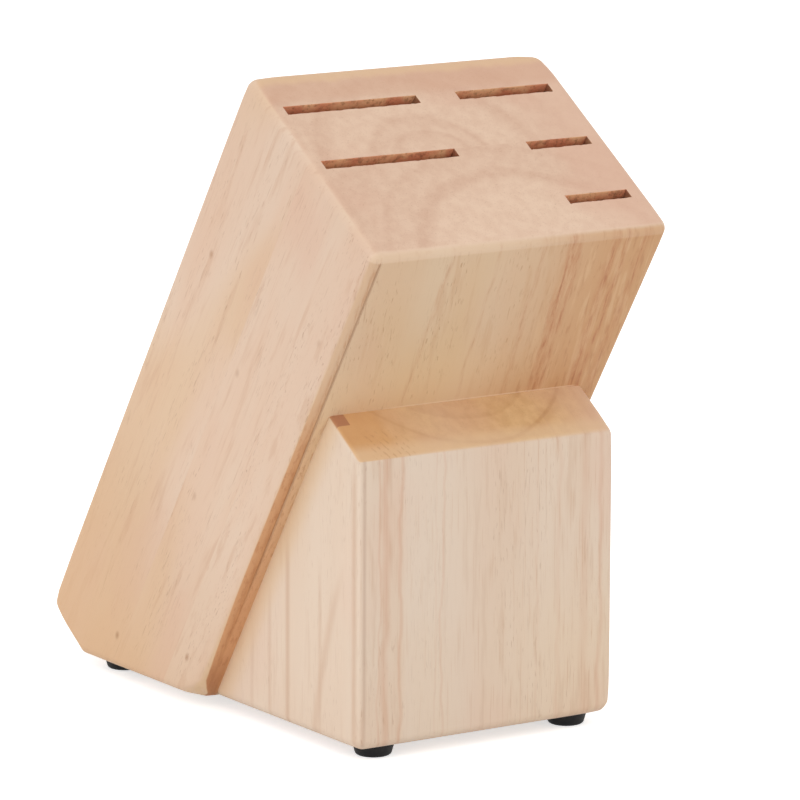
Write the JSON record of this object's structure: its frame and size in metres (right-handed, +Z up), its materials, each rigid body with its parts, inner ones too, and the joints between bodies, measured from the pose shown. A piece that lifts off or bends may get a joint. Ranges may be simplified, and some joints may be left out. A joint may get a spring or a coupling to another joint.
{
  "type": "knife block",
  "caption": "Slanted wooden knife block with flat slots in its top face, leaning on a shorter wooden prop glued to its front, and standing on round rubber feet.",
  "frame": {"origin": "centre of the bounding box's footprint, on the plane the feet stand on", "axes": "+Z up; -Y is the front, where the prop stands and the top leans out; +X is the right side as seen from the front"},
  "size_m": [0.11, 0.1932, 0.2068],
  "materials": {
    "back_board": "fine-sanded bare rubberwood",
    "rear_middle_board": "fine-sanded bare rubberwood",
    "front_middle_board": "fine-sanded bare rubberwood",
    "front_board": "fine-sanded bare rubberwood",
    "prop_rear_board": "fine-sanded bare rubberwood",
    "prop_front_board": "fine-sanded bare rubberwood",
    "dowel": "fluted beech",
    "foot": "moulded, satin black",
    "washer": "zinc plated",
    "screw": "zinc plated"
  },
  "bodies": {
    "root": {"back_board": "back_board", "rear_middle_board": "rear_middle_board", "front_middle_board": "front_middle_board", "front_board": "front_board", "prop_rear_board": "prop_rear_board", "prop_front_board": "prop_front_board", "left_dowel": "dowel", "right_dowel": "dowel", "front_left_foot": "foot", "front_right_foot": "foot", "rear_left_foot": "foot", "rear_right_foot": "foot", "front_left_washer": "washer", "front_right_washer": "washer", "rear_left_washer": "washer", "rear_right_washer": "washer", "front_left_screw": "screw", "front_right_screw": "screw", "rear_left_screw": "screw", "rear_right_screw": "screw"}
  },
  "joints": []
}
